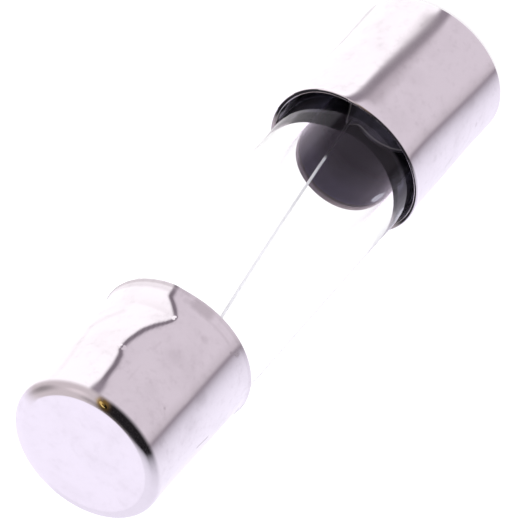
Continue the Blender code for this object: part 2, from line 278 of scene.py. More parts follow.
class FUSE_PG_studio(bpy.types.PropertyGroup):
    """Camera, lights and the tent that the metal reflects."""

    camera_distance: length("Camera distance", "From the fuse's middle to the camera", 400 * MM)
    camera_height: angle("Camera height", "How far the camera looks down", 39.2)
    camera_roll: angle("Camera roll", "Turn of the picture round its middle", 138.25)
    pixels_per_mm: number("Pixels per millimetre", "Scale of the picture at the fuse's middle", 33.504)
    aim_across: number("Aim across", "Sideways offset of the fuse in the picture, in millimetres", -0.0762)
    aim_along: number("Aim along", "Offset of the fuse along its axis in the picture, in millimetres", 0.1297)
    lamp_side: length("Lamp side", "Side of the square lamp over the fuse", 300 * MM)
    lamp_power: number("Lamp power", "Power of the lamp, in watts", 1.1)
    floor_radius: length("Floor radius", "Radius of the round sheet of paper", 600 * MM)
    floor_glow: number("Floor glow", "Light that the paper adds in the picture", 0.55)
    floor_colour: colour("Floor", "Paper that the fuse stands on", (0.7, 0.7, 0.7))
    tent_white: colour("Tent white", "Bright left side of the tent", (1.25, 1.21, 1.25))
    tent_pale: colour("Tent pale", "Right side of the tent", (1.09, 1.05, 1.18))
    tent_lilac: colour("Tent lilac", "Cloth over and behind the fuse", (1.11, 1.06, 1.215))
    tent_cloth: colour("Tent cloth", "Grey cloth on the upper left", (0.68, 0.61, 0.634))
    tent_grey: colour("Tent grey", "Table in front of the fuse, in the tent's opening", (0.784, 0.711, 0.778))
    tent_shade: colour("Tent shade", "Shaded right end of the table", (0.59, 0.53, 0.575))
    tent_edge: colour("Tent edge", "Edges of the tent's opening", (0.33, 0.285, 0.33))
    tent_dark: colour("Tent dark", "Dark room over the table", (0.01, 0.008, 0.01))
    tent_haze: colour("Tent haze", "Tint of what the inside of the glass mirrors", (0.7, 0.5, 0.85))
    tent_veil: colour("Tent veil", "Cloth beside the backdrop, seen bent through the glass", (1.2, 1.03, 1.25))
    tent_backdrop: colour("Tent backdrop", "White backdrop, seen straight through the glass", (1.2, 1.2, 1.2))
    tent_glow: colour("Tent glow", "Light that the tent throws on dull surfaces", (1.05, 1.05, 1.06))
    tent_dusk: colour("Tent dusk", "Top of the dark room", (0.22, 0.2, 0.19))
    tent_rust: colour("Tent rust", "Brown seam between the cloth and the dark room", (0.18, 0.13, 0.09))


class Field:
    """A socket in a shader's node graph, with arithmetic for the numbers that it carries."""

    def __init__(self, tree, socket=None):
        self.tree = tree
        self.socket = socket

    def node(self, kind, settings=None, sockets=None, output=0):
        """Add a node, settings first, then values or links for its sockets; gives one of its outputs."""
        made = self.tree.nodes.new("ShaderNode" + kind)
        for name, value in (settings or {}).items():
            setattr(made, name, value)
        for name, value in (sockets or {}).items():
            if isinstance(value, Field):
                self.tree.links.new(value.socket, made.inputs[name])
            else:
                made.inputs[name].default_value = value
        return Field(self.tree, made.outputs[output])

    def math(self, operation, first, second=0.0):
        """A Math node on one or two numbers or fields."""
        return self.node("Math", {"operation": operation}, {0: first, 1: second})

    def vector(self, operation, first, second=(0.0, 0.0, 0.0)):
        """A Vector Math node on one or two vectors; gives a number where the operation makes one."""
        makes_number = operation in ("DOT_PRODUCT", "LENGTH", "DISTANCE")
        return self.node("VectorMath", {"operation": operation}, {0: first, 1: second}, int(makes_number))

    def __add__(self, other):
        return self.math("ADD", self, other)

    def __radd__(self, other):
        return self.math("ADD", other, self)

    def __sub__(self, other):
        return self.math("SUBTRACT", self, other)

    def __rsub__(self, other):
        return self.math("SUBTRACT", other, self)

    def __mul__(self, other):
        return self.math("MULTIPLY", self, other)

    def __truediv__(self, other):
        return self.math("DIVIDE", self, other)

    def __neg__(self):
        return self * -1.0

    def smooth(self, start, end):
        """0 up to start, 1 from end on, with a soft step between; start may be above end."""
        if start > end:
            return 1.0 - self.smooth(end, start)
        settings = {"interpolation_type": "SMOOTHSTEP"}
        return self.node("MapRange", settings, {"Value": self, "From Min": start, "From Max": end})

    def between(self, start, end, soft):
        """1 between start and end, with soft borders."""
        return self.smooth(start - soft, start + soft) * self.smooth(end + soft, end - soft)

    def parts(self):
        """The three numbers of a vector."""
        split = self.node("SeparateXYZ", sockets={0: self})
        outputs = split.socket.node.outputs
        return [Field(self.tree, outputs[axis]) for axis in range(3)]


def blend(graph, factor, first, second):
    """Colour that goes from first to second as factor goes from 0 to 1."""
    return graph.node("Mix", {"data_type": "RGBA"}, {0: factor, 6: as_colour(first), 7: as_colour(second)}, 2)


def as_colour(value):
    """A colour socket's value: fields pass, and three numbers get an alpha."""
    if isinstance(value, Field):
        return value
    return (value[0], value[1], value[2], 1.0)


def shade(tone, level):
    """A colour made darker or lighter by a level."""
    return tuple(value * level for value in tone)


def noise(graph, place, scale, detail=3.0, roughness=0.5, distortion=0.0):
    """Grey cloud noise in the object's own space, centred near 0.5."""
    sockets = {"Vector": place, "Scale": scale, "Detail": detail, "Roughness": roughness,
               "Distortion": distortion}
    return graph.node("TexNoise", sockets=sockets)


def near(graph, place, spot, radius, stretch=(1.0, 1.0, 1.0)):
    """1 at a spot on the surface and 0 a radius away from it, softly."""
    scaled = graph.vector("MULTIPLY", graph.vector("SUBTRACT", place, spot), shade(stretch, 1.0 / radius))
    return graph.vector("LENGTH", scaled).smooth(1.0, 0.3)


def streak(graph, place, start, end, radius):
    """1 along a straight line between two points and 0 a radius away from it, softly."""
    along = Vector(end) - Vector(start)
    offset = graph.vector("SUBTRACT", place, start)
    share = graph.vector("DOT_PRODUCT", offset, along / along.length_squared)
    share = graph.node("Clamp", sockets={"Value": share})
    reach = graph.node("VectorMath", {"operation": "SCALE"}, {0: along, "Scale": share})
    return graph.vector("DISTANCE", offset, reach).smooth(radius, radius * 0.2)


def side_point(place):
    """Point on a cap's round side, from degrees off the front towards -X and a height in millimetres."""
    turn = math.radians(place[0])
    radius = bpy.context.scene.fuse_sizes.cap_radius
    return (-radius * math.sin(turn), -radius * math.cos(turn), place[1] * MM)


def new_material(name):
    """Material with a Principled shader: gives the material, its graph, the shader and the object's own space."""
    material = bpy.data.materials.new(name)
    material.use_nodes = True
    graph = Field(material.node_tree)
    return material, graph, graph.tree.nodes["Principled BSDF"], graph.node("TexCoord", output=3)


def feed(shader, **sockets):
    """Set or link sockets of a shader; underscores in the names stand for spaces."""
    for name, value in sockets.items():
        socket = shader.inputs[name.replace("_", " ")]
        if isinstance(value, Field):
            value.tree.links.new(value.socket, socket)
        elif isinstance(socket.default_value, float):
            socket.default_value = value
        else:
            socket.default_value = as_colour(value)


def bump(graph, height, distance, normal):
    """A normal disturbed by a height field, whose full height is a distance in metres."""
    return graph.node("Bump", sockets={"Height": height, "Distance": distance, "Normal": normal})


def lip_soil_and_shade(graph, place):
    """Soiled band along the lip of the top cap; the darker band on its left side is painted shade."""
    sizes = bpy.context.scene.fuse_sizes
    east, north, up = place.parts()
    across = graph.math("ARCTAN2", -east, -north) * math.degrees(1.0)
    over = up - (sizes.fuse_length - sizes.cap_length)
    left = across.smooth(-24.0, -34.0)
    # Painted shade: a darker band on the lip's left side
    painted_left_shade = over.between(0.19 * MM, 0.35 * MM, 0.08 * MM) * left
    edge = over.between(0.0, 0.13 * MM, 0.05 * MM)
    fold = over.between(0.36 * MM, 0.46 * MM, 0.05 * MM) * across.between(4.0, 26.0, 6.0)
    return painted_left_shade * 0.5 + edge * (left * 0.6 + 0.2) + fold * 0.25


def plating_material(name, spots, streaks, at_top):
    """Bright nickel with mottling and stains; the top cap also has soil, partly painted shade, along its lip,
    pimples, a dark line of painted shade along the ridge and bare brass.
    """
    colours = bpy.context.scene.fuse_finishes
    sizes = bpy.context.scene.fuse_sizes
    material, graph, shader, place = new_material(name)
    clouds = noise(graph, place, 900.0, 4.0, 0.6)
    grain = noise(graph, place, 3600.0, 3.0, 0.6)
    side = place.parts()[2].between(0.05 * MM, sizes.fuse_length - 0.05 * MM, 0.04 * MM)
    stain_and_shade = (clouds.smooth(0.42, 0.75) * 0.2 + grain.smooth(0.52, 0.7) * 0.12) * (side * 0.6 + 0.4)
    for spot, radius, strength in spots:
        stain_and_shade = stain_and_shade + near(graph, place, side_point(spot), radius * MM) * strength
    for start, end, radius, strength in streaks:
        stain_and_shade = stain_and_shade + streak(graph, place, side_point(start), side_point(end), radius * MM) * strength
    normal = graph.node("NewGeometry", output=1)
    if at_top:
        # Soil along the lip, partly painted shade
        stain_and_shade = stain_and_shade + lip_soil_and_shade(graph, place)
        pimples = near(graph, place, BRASS_SPOT, BURR_RADIUS, (0.45, 1.0, 1.0))
        for corner in RIDGE_CORNERS:
            pimples = pimples + near(graph, place, side_point(corner), CORNER_RADIUS, (1.0, 1.0, 1.4)) * 1.5
        normal = bump(graph, pimples, PIMPLE_HEIGHT, normal)
    else:
        normal = turned_normal(graph, place, normal)
    base = blend(graph, stain_and_shade, colours.nickel, colours.tarnish_and_painted_light)
    if at_top:
        # Painted shade: a dark line along the ridge of the dent
        base = blend(graph, graph.node("Attribute", {"attribute_name": RIDGE_SHADE_LAYER}, output=2), base, colours.painted_ridge_shade)
        worn = near(graph, place, BRASS_SPOT, BRASS_RADIUS, (0.6, 1.0, 1.0)) * grain.smooth(0.3, 0.5)
        base = blend(graph, worn, base, colours.brass)
    relief = clouds * 0.6 + grain * 0.4
    feed(shader, Base_Color=base, Metallic=1.0, Roughness=0.07 + clouds * 0.07 + stain_and_shade * 0.15,
         Normal=bump(graph, relief, 0.0006 * MM, normal))
    return material


def turned_normal(graph, place, normal):
    """Normal of the bottom cap, which is slightly out of round towards its flat end."""
    sizes = bpy.context.scene.fuse_sizes
    turn = place.parts()[2].smooth(4.6 * MM, 0.6 * MM) * sizes.oval_turn_end + sizes.oval_turn
    return graph.node("VectorRotate", {"rotation_type": "Z_AXIS"}, {"Vector": normal, "Angle": turn})


def inner_shade_material():
    """Inner faces of the caps: metal dark with painted shade, deeper further in, with painted sheen near the lip,
    a painted glint and black painted shade on the front.
    """
    colours = bpy.context.scene.fuse_finishes
    material, graph, shader, place = new_material("inner_painted_shade")
    clouds = noise(graph, place, 500.0, 2.0)
    north, height = place.parts()[1:]
    height = graph.math("MINIMUM", height, bpy.context.scene.fuse_sizes.fuse_length - height)
    # Painted sheen over two stretches near the lip, brightest there as painted highlights
    sheen_mask = graph.math("MAXIMUM", *(near(graph, place, middle, radius) for middle, radius in PAINTED_SHEENS))
    # Painted shade that deepens further into the cap
    deep = (height + clouds * 0.3 * MM).smooth(*DARK_HEIGHTS)
    front = graph.vector("DOT_PRODUCT", place, DARK_SIDE).smooth(-0.2 * MM, 0.4 * MM)
    ring = height.smooth(*RING_HEIGHTS)
    # Painted shade: black near the lip on the front side, and on the front of the lip's ring
    black = graph.math("MAXIMUM", height.smooth(*BLACK_HEIGHTS) * front, ring * north.smooth(0.9 * MM, 0.2 * MM))
    # Painted glint: a bright spot that stands in for a lamp's highlight
    painted_glint = near(graph, place, PAINTED_GLINT_SPOT, PAINTED_GLINT_RADIUS, (1.0, 1.0, 1.6))
    painted_glint = (painted_glint + (clouds - 0.5) * 0.5).smooth(0.2, 0.55)
    base = blend(graph, sheen_mask, colours.painted_sheen, colours.painted_highlight)
    base = blend(graph, deep, base, colours.painted_gap_shade)
    base = blend(graph, painted_glint, base, colours.painted_glint)
    base = blend(graph, ring, base, colours.lip_ring)
    base = blend(graph, black, base, shade(colours.painted_gap_shade, 1.5))
    feed(shader, Base_Color=base, Metallic=(1.0 - painted_glint) * (1.0 - black), Roughness=0.24 + clouds * 0.1,
         Specular_Tint=(0.3, 0.27, 0.32), Specular_IOR_Level=0.0)
    return material


def glass_material():
    """Clear glass with the faintest smears."""
    colours = bpy.context.scene.fuse_finishes
    material, graph, shader, place = new_material("clear_glass")
    smears = noise(graph, place, 400.0, 2.0)
    base = blend(graph, smears, colours.glass, (1.0, 1.0, 1.0))
    # Painted reflection: the glass's reflections are tinted lavender
    feed(shader, Base_Color=base, Metallic=0.0, Roughness=0.0, IOR=1.5, Transmission_Weight=1.0,
         Specular_Tint=(0.4, 0.36, 0.44))
    pass_light(graph, shader, (0.97, 0.97, 0.98))
    return material


def ray_kinds(graph, *kinds):
    """1 for rays of each kind asked for, and 0 for the others."""
    outputs = graph.node("LightPath").socket.node.outputs
    return [Field(graph.tree, outputs["Is %s Ray" % kind]) for kind in kinds]


def pass_light(graph, shader, tint):
    """Let shadow rays and diffuse rays go straight through a clear material, so that they light what it holds."""
    straight = graph.math("MAXIMUM", *ray_kinds(graph, "Shadow", "Diffuse"))
    clear = graph.node("BsdfTransparent", sockets={"Color": as_colour(tint)})
    glass = Field(graph.tree, shader.outputs["BSDF"])
    mixed = graph.node("MixShader", sockets={0: straight, 1: glass, 2: clear})
    output = graph.tree.nodes["Material Output"]
    graph.tree.links.new(mixed.socket, output.inputs["Surface"])


def solder_material():
    """Dull tin with dark flux on it, kept darker still as painted shade, and a painted highlight in a line round
    the edge of its face.
    """
    colours = bpy.context.scene.fuse_finishes
    sizes = bpy.context.scene.fuse_sizes
    material, graph, shader, place = new_material("dull_solder")
    clouds = noise(graph, place, 1100.0, 3.0, 0.5, 0.5)
    # Very dark tones, partly painted shade for the bottom of the cap
    base = blend(graph, clouds.smooth(0.4, 0.62), colours.flux_and_shade, colours.solder)
    east, north = place.parts()[:2]
    east = east + sizes.glass_offset
    reach = graph.math("SQRT", east * east + north * north)
    bore = sizes.glass_radius - sizes.glass_wall
    # Painted highlight: a lighter line round the edge of the face
    edge = reach.between(bore - 0.12 * MM, bore - 0.09 * MM, 0.02 * MM)
    base = blend(graph, edge * 0.22, base, colours.tarnish_and_painted_light)
    feed(shader, Base_Color=base, Metallic=0.2, Roughness=0.6 + clouds * 0.2, Specular_IOR_Level=0.1)
    return material


def wire_material():
    """Tinned wire with a slightly uneven shine, darker with flux and painted shade where it goes into the bottom
    cap.
    """
    colours = bpy.context.scene.fuse_finishes
    material, graph, shader, place = new_material("tinned_wire")
    clouds = noise(graph, place, 4000.0, 2.0)
    base = blend(graph, clouds.smooth(0.35, 0.75), colours.tin, shade(colours.tin, 0.9))
    # Flux and painted shade: darker where the wire goes into the bottom cap
    base = blend(graph, place.parts()[2].smooth(5.3 * MM, 5.05 * MM), base, colours.flux_and_shade)
    feed(shader, Base_Color=base, Metallic=0.0, Roughness=0.3 + clouds * 0.2)
    return material


def bell(distance, spread):
    """Smooth hump that is 1 in the middle and close to 0 at twice the spread."""
    return math.exp(-((distance / spread) ** 2))


def ramp(value, start, end):
    """Share of the way from start to end, kept between 0 and 1."""
    return min(max((value - start) / (end - start), 0.0), 1.0)


def turn_from(direction, centre):
    """Signed angle from a centre, the short way round."""
    return (direction - centre + math.pi) % math.tau - math.pi


def arc(centre_x, centre_z, radius, start_deg, end_deg, steps):
    """Points on an arc in the profile plane, both ends included."""
    points = []
    for step in range(steps + 1):
        turn = math.radians(start_deg + (end_deg - start_deg) * step / steps)
        points.append((centre_x + radius * math.cos(turn), centre_z + radius * math.sin(turn)))
    return points


def spun(profile, steps):
    """Bmesh of a half section turned about Z, poles and seam merged, facing out."""
    work = bmesh.new()
    verts = [work.verts.new((x, 0.0, z)) for x, z in profile]
    edges = [work.edges.new(pair) for pair in zip(verts, verts[1:])]
    bmesh.ops.spin(work, geom=verts + edges, cent=(0.0, 0.0, 0.0), axis=(0.0, 0.0, 1.0), angle=math.tau,
                   steps=steps, use_merge=True)
    bmesh.ops.remove_doubles(work, verts=work.verts, dist=MERGE_DISTANCE)
    bmesh.ops.recalc_face_normals(work, faces=work.faces)
    return work


def finished(work, name, materials):
    """Object made from a bmesh, smooth shaded, riding on the fuse's one body."""
    mesh = bpy.data.meshes.new(name)
    work.to_mesh(mesh)
    work.free()
    mesh.shade_smooth()
    for material in materials:
        mesh.materials.append(material)
    obj = bpy.data.objects.new(name, mesh)
    bpy.context.scene.collection.objects.link(obj)
    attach(obj, "root")
    return obj


def flip_to_top(work):
    """Turn a piece that is modelled on the bottom end over to the top end of the fuse."""
    sizes = bpy.context.scene.fuse_sizes
    turn = Matrix.Translation((0.0, 0.0, sizes.fuse_length)) @ Matrix.Rotation(math.pi, 4, "X")
    bmesh.ops.transform(work, matrix=turn, verts=work.verts)


def cap_flare(height):
    """How far a cap's wall leans out close to the mouth."""
    sizes = bpy.context.scene.fuse_sizes
    return sizes.lip_flare * ramp(height, sizes.cap_length - sizes.lip_run, sizes.cap_length) ** 1.5


def cap_outside(height):
    """Outer radius of a cap at a height over its flat end."""
    sizes = bpy.context.scene.fuse_sizes
    waist = sizes.waist_depth * bell(height - sizes.waist_height, sizes.waist_spread)
    return sizes.cap_radius - waist + cap_flare(height)


def cap_profile():
    """Half section of a cap: inside floor, inner wall, lip, outer wall, rounded edge and flat end."""
    sizes = bpy.context.scene.fuse_sizes
    bore = sizes.cap_radius - sizes.cap_wall
    inside = bore + cap_flare(sizes.cap_length)
    outside = cap_outside(sizes.cap_length)
    lip = (outside - inside) / 2
    lip_base = sizes.cap_length - lip
    floor_edge = sizes.cap_wall + sizes.inner_rounding
    side_start = sizes.end_rounding
    wall_steps = 72

    points = [(0.0, sizes.cap_wall)]
    points += arc(bore - sizes.inner_rounding, floor_edge, sizes.inner_rounding, -90, 0, 4)
    for step in range(1, 8):
        height = sizes.cap_length - sizes.lip_run * (8 - step) / 8
        points.append((bore + cap_flare(height), height))
    points += arc(inside + lip, lip_base, lip, 180, 0, 10)
    for step in range(1, wall_steps):
        height = lip_base + (side_start - lip_base) * step / wall_steps
        points.append((cap_outside(height), height))
    flat_edge = cap_outside(side_start) - sizes.end_rounding_reach
    for share_out, share_up in arc(0.0, 0.0, 1.0, 0, -90, 20):
        points.append((flat_edge + sizes.end_rounding_reach * share_out,
                       side_start + sizes.end_rounding * share_up))
    points += [(flat_edge * share, 0.0) for share in (0.98, 0.9, 0.7, 0.4)]
    points.append((0.0, 0.0))
    return points


def push_radially(vertex, amount):
    """Move a vertex away from the fuse's axis."""
    radius = math.hypot(vertex.co.x, vertex.co.y)
    share = (radius + amount) / radius
    vertex.co.x *= share
    vertex.co.y *= share


def smooth_ramp(value, start, end):
    """Share of the way from start to end, with a soft start and finish."""
    share = ramp(value, start, end)
    return share * share * (3.0 - 2.0 * share)


def ridge_direction(height):
    """Direction round the cap where the ridge of the dent stands, at a height over the flat end."""
    for (low, direction), (high, next_direction) in zip(RIDGE_COURSE, RIDGE_COURSE[1:]):
        if height <= high * MM:
            share = ramp(height, low * MM, high * MM)
            return math.radians(direction + (next_direction - direction) * share)
    return math.radians(RIDGE_COURSE[-1][1])


def pressed_flat(away, width):
    """Depth of a flat that starts at the soft ridge, is a width wide and then fades back to round."""
    sizes = bpy.context.scene.fuse_sizes
    softness = sizes.ridge_softness
    if width <= 0.0 or away <= -softness:
        return 0.0
    if away < softness:
        away = (away + softness) ** 2 / (4.0 * softness)
    depth = sizes.cap_radius * width ** 2 / 2
    if away < width:
        return depth - sizes.cap_radius * (width - away) ** 2 / 2
    return depth * (1.0 - smooth_ramp(away, width, width + sizes.ridge_fade))


def dent_side(work):
    """Press both flanks of the crooked ridge into the outer face of the top cap's side."""
    sizes = bpy.context.scene.fuse_sizes
    half_wall = sizes.cap_radius - sizes.cap_wall / 2
    painted_ridge_shade = work.verts.layers.float.new(RIDGE_SHADE_LAYER)
    for vertex in work.verts:
        if math.hypot(vertex.co.x, vertex.co.y) < half_wall or vertex.co.z < sizes.end_rounding:
            continue
        ridge = ridge_direction(vertex.co.z)
        away = turn_from(math.atan2(vertex.co.y, vertex.co.x), ridge)
        depth = pressed_flat(away, sizes.ridge_flat_end - ridge)
        depth += pressed_flat(-away, ridge - sizes.ridge_flat_start)
        fade_in = smooth_ramp(vertex.co.z, sizes.end_rounding, sizes.ridge_start)
        push_radially(vertex, -depth * fade_in)
        gaps = max(bell(vertex.co.z - height * MM, 0.13 * MM) for height in RIDGE_SHADE_GAPS)
        # Painted shade along the ridge, as a dark line that the plating blends in
        vertex[painted_ridge_shade] = bell(away, sizes.ridge_shade_spread) * fade_in * (1.0 - gaps) * 0.4


def bend_lip(work):
    """Lean one stretch of the bottom cap's lip outwards."""
    sizes = bpy.context.scene.fuse_sizes
    for vertex in work.verts:
        reach = ramp(vertex.co.z, sizes.cap_length - sizes.bent_lip_run, sizes.cap_length)
        if reach > 0.0:
            direction = math.atan2(vertex.co.y, vertex.co.x)
            across = bell(turn_from(direction, sizes.bent_lip_angle), sizes.bent_lip_spread)
            push_radially(vertex, sizes.bent_lip * reach ** 2 * across)


def line_inside(work, shade_reach):
    """Give the inner faces of a cap the second material, with its painted shade, and give it too to a stretch of
    lip on the bottom one.
    """
    sizes = bpy.context.scene.fuse_sizes
    for face in work.faces:
        centre = face.calc_center_median()
        outwards = face.normal.dot(Vector((centre.x, centre.y, 0.0)).normalized())
        direction = math.atan2(centre.y, centre.x)
        # A stretch of the bottom cap's lip also takes the inner material, with its painted shade
        lip_share = 0.2 + shade_reach * bell(turn_from(direction, sizes.shaded_lip_angle), sizes.shaded_lip_spread)
        inward = outwards < lip_share if centre.z > sizes.end_rounding else face.normal.z > 0
        face.material_index = 1 if inward else 0


class FUSE_OT_end_caps(bpy.types.Operator):
    """Make both drawn end caps: dents in the top one, a bent lip on the bottom one"""

    bl_idname = "fuse.end_caps"
    bl_label = "End Caps"
    bl_options = {"REGISTER", "UNDO"}

    def execute(self, context):
        sizes = context.scene.fuse_sizes
        # Inner material, painted with shade, sheen and a glint
        painted_inside = inner_shade_material()

        work = spun(cap_profile(), sizes.turn_steps)
        bend_lip(work)
        line_inside(work, sizes.shaded_lip)
        plating = plating_material("bright_nickel_bottom", BOTTOM_SPOTS, BOTTOM_STREAKS, False)
        piece = finished(work, "plated_bottom_cap", [plating, painted_inside])
        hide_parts("bottom_cap")

        work = spun(cap_profile(), sizes.turn_steps)
        dent_side(work)
        line_inside(work, 0.0)
        flip_to_top(work)
        plating = plating_material("bright_nickel_top", TOP_SPOTS, TOP_STREAKS, True)
        piece = finished(work, "plated_top_cap", [plating, painted_inside])
        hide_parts("top_cap")
        return {"FINISHED"}


class FUSE_OT_glass_tube(bpy.types.Operator):
    """Make the thick glass tube with its melted ends"""

    bl_idname = "fuse.glass_tube"
    bl_label = "Glass Tube"
    bl_options = {"REGISTER", "UNDO"}

    def execute(self, context):
        sizes = context.scene.fuse_sizes
        low = sizes.glass_start
        high = sizes.fuse_length - low
        rounding = sizes.glass_rounding
        outside = sizes.glass_radius
        inside = outside - sizes.glass_wall
        outer = outside - rounding
        inner = inside + rounding
        heights = [low + rounding * 1.2, low + rounding * 2, low + rounding * 4]
        heights += [low + high - height for height in reversed(heights)]
        profile = arc(outer, high - rounding, rounding, 90, 0, 6)
        profile += [(outside, height) for height in reversed(heights)]
        profile += arc(outer, low + rounding, rounding, 0, -90, 6)
        profile += arc(inner, low + rounding, rounding, -90, -180, 6)
        profile += [(inside, height) for height in heights]
        profile += arc(inner, high - rounding, rounding, 180, 90, 6)
        profile.append(profile[0])
        work = spun(profile, sizes.turn_steps)
        bmesh.ops.translate(work, vec=(-sizes.glass_offset, 0.0, 0.0), verts=work.verts)
        piece = finished(work, "clear_glass_tube", [glass_material()])
        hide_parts("glass_tube")
        return {"FINISHED"}


def solder_profile():
    """Half section of the solder: a dished plug in the bore on a bed under the glass."""
    sizes = bpy.context.scene.fuse_sizes
    plug = sizes.glass_radius - sizes.glass_wall - sizes.solder_gap
    bed = sizes.cap_radius - sizes.cap_wall - sizes.solder_gap
    bed_bottom = sizes.cap_wall + sizes.solder_gap
    bed_top = bed_bottom + sizes.solder_bed
    edge = sizes.inner_rounding
    steps = 24
    points = []
    for step in range(steps + 1):
        share = step / steps
        points.append((plug * share, sizes.solder_level + sizes.meniscus_rise * share ** 4))
    points.append((plug, bed_top))
    points.append((bed, bed_top))
    points += arc(bed - edge, bed_bottom + edge, edge, 0, -90, 4)
    points.append((0.0, bed_bottom))
    return points


def wire_end(direction):
    """Place of one of the wire's ends, seen from above, in a direction from the fuse's axis."""
    sizes = bpy.context.scene.fuse_sizes
    reach = sizes.glass_radius - sizes.glass_wall - sizes.wire_off_wall - sizes.wire_radius
    return Vector((math.cos(direction) * reach, math.sin(direction) * reach, 0.0))


def shift_plug(work):
    """Move the solder inside the bore over to the tube's own axis."""
    sizes = bpy.context.scene.fuse_sizes
    bore = sizes.glass_radius - sizes.glass_wall
    bed_top = sizes.cap_wall + sizes.solder_gap + sizes.solder_bed
    inside = [vertex for vertex in work.verts
              if math.hypot(vertex.co.x, vertex.co.y) < bore and vertex.co.z > bed_top - MERGE_DISTANCE]
    bmesh.ops.translate(work, vec=(-sizes.glass_offset, 0.0, 0.0), verts=inside)


def heap_round_wire(work, direction):
    """Raise the solder's dished face where the wire comes out of it."""
    sizes = bpy.context.scene.fuse_sizes
    end = wire_end(direction)
    for vertex in work.verts:
        if vertex.co.z > sizes.solder_level - sizes.solder_gap:
            distance = math.hypot(vertex.co.x - end.x, vertex.co.y - end.y)
            vertex.co.z += sizes.mound_height * bell(distance, sizes.mound_spread)


class FUSE_OT_solder(bpy.types.Operator):
    """Make the solder that fills the end of each cap"""

    bl_idname = "fuse.solder"
    bl_label = "Solder"
    bl_options = {"REGISTER", "UNDO"}

    def execute(self, context):
        sizes = context.scene.fuse_sizes
        material = solder_material()
        for name, node, at_top in (("bottom_solder_joint", "bottom_solder", False),
                                   ("top_solder_joint", "top_solder", True)):
            work = spun(solder_profile(), sizes.turn_steps)
            shift_plug(work)
            heap_round_wire(work, -sizes.wire_top_angle if at_top else sizes.wire_bottom_angle)
            if at_top:
                flip_to_top(work)
            piece = finished(work, name, [material])
            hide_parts(node)
        return {"FINISHED"}


def wire_route():
    """Points of the wire: up out of one solder, slantwise through the bore, up into the other."""
    sizes = bpy.context.scene.fuse_sizes
    bottom = wire_end(sizes.wire_bottom_angle)
    top = wire_end(sizes.wire_top_angle)
    half = sizes.fuse_length / 2
    corner = sizes.solder_level + sizes.meniscus_rise - half
    bend_steps = 8
    lower = [(1.0, corner - sizes.wire_anchor), (1.0, corner - sizes.wire_bend)]
    for step in range(1, bend_steps + 1):
        share = step / bend_steps
        height = corner - sizes.wire_bend + 2 * sizes.wire_bend * share
        lower.append((1.0 - sizes.wire_bend * share ** 2 / abs(corner), height))
    upper = [(-share, -height) for share, height in reversed(lower)]
    middle = (bottom + top) / 2
    swing = (bottom - top) / 2
    return [middle + swing * share + Vector((0.0, 0.0, half + height)) for share, height in lower + upper]


class FUSE_OT_fuse_wire(bpy.types.Operator):
    """Make the fine fuse wire that crosses the bore"""

    bl_idname = "fuse.fuse_wire"
    bl_label = "Fuse Wire"
    bl_options = {"REGISTER", "UNDO"}

    def execute(self, context):
        sizes = context.scene.fuse_sizes
        route = wire_route()
        work = bmesh.new()
        ring = bmesh.ops.create_circle(work, cap_ends=True, radius=sizes.wire_radius, segments=16)["verts"]
        bmesh.ops.translate(work, vec=route[0], verts=ring)
        first = work.faces[:]
        current = first
        for here, there in zip(route, route[1:]):
            grown = bmesh.ops.extrude_face_region(work, geom=current)["geom"]
            moved = [item for item in grown if isinstance(item, bmesh.types.BMVert)]
            bmesh.ops.translate(work, vec=there - here, verts=moved)
            if current is not first:
                bmesh.ops.delete(work, geom=current, context="FACES_ONLY")
            current = [item for item in grown if isinstance(item, bmesh.types.BMFace)]
        bmesh.ops.recalc_face_normals(work, faces=work.faces)
        piece = finished(work, "tinned_fuse_wire", [wire_material()])
        piece.data.set_sharp_from_angle(angle=math.radians(60.0))
        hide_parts("fuse_wire")
        return {"FINISHED"}


def add_camera():
    """Camera at the photograph's angle, rolled as the photograph is."""
    studio = bpy.context.scene.fuse_studio
    down = studio.camera_height
    forward = Vector((0.0, math.cos(down), -math.sin(down)))
    along = Vector((0.0, -math.sin(down), -math.cos(down)))
    across = forward.cross(along)
    middle = Vector((0.0, 0.0, cad_high.z / 2))
    target = middle - across * studio.aim_across * MM - along * studio.aim_along * MM

    data = bpy.data.cameras.new("photo_camera")
    data.sensor_width = SENSOR_WIDTH
    focal_pixels = studio.pixels_per_mm * studio.camera_distance / MM
    data.lens = focal_pixels * SENSOR_WIDTH / PICTURE_SIDE
    data.clip_start = 0.01
    data.clip_end = 5.0
    camera = bpy.data.objects.new("photo_camera", data)
    turn = Matrix.Rotation(studio.camera_roll, 3, forward)
    up = turn @ -along
    right = forward.cross(up)
    basis = Matrix((right, up, -forward)).transposed().to_4x4()
    camera.matrix_world = Matrix.Translation(target - forward * studio.camera_distance) @ basis
    bpy.context.scene.collection.objects.link(camera)
    bpy.context.scene.camera = camera


def add_floor():
    """Round sheet of white paper. The metal and the glass see the tent instead of it."""
    studio = bpy.context.scene.fuse_studio
    material, graph, shader, place = new_material("white_paper")
    fibres = noise(graph, place, 260.0, 4.0)
    base = blend(graph, fibres, studio.floor_colour, shade(studio.floor_colour, 0.97))
    seen = ray_kinds(graph, "Camera")[0]
    feed(shader, Base_Color=base, Roughness=0.9, Specular_IOR_Level=0.0, Emission_Color=(1.0, 1.0, 1.0),
         Emission_Strength=seen * studio.floor_glow)

    work = bmesh.new()
    bmesh.ops.create_circle(work, cap_ends=True, radius=studio.floor_radius, segments=64)
    bmesh.ops.translate(work, vec=(0.0, 0.0, -FLOOR_GAP), verts=work.verts)
    mesh = bpy.data.meshes.new("paper_floor")
    work.to_mesh(mesh)
    work.free()
    mesh.materials.append(material)
    floor = bpy.data.objects.new("paper_floor", mesh)
    floor.visible_glossy = False
    floor.visible_transmission = False
    bpy.context.scene.collection.objects.link(floor)


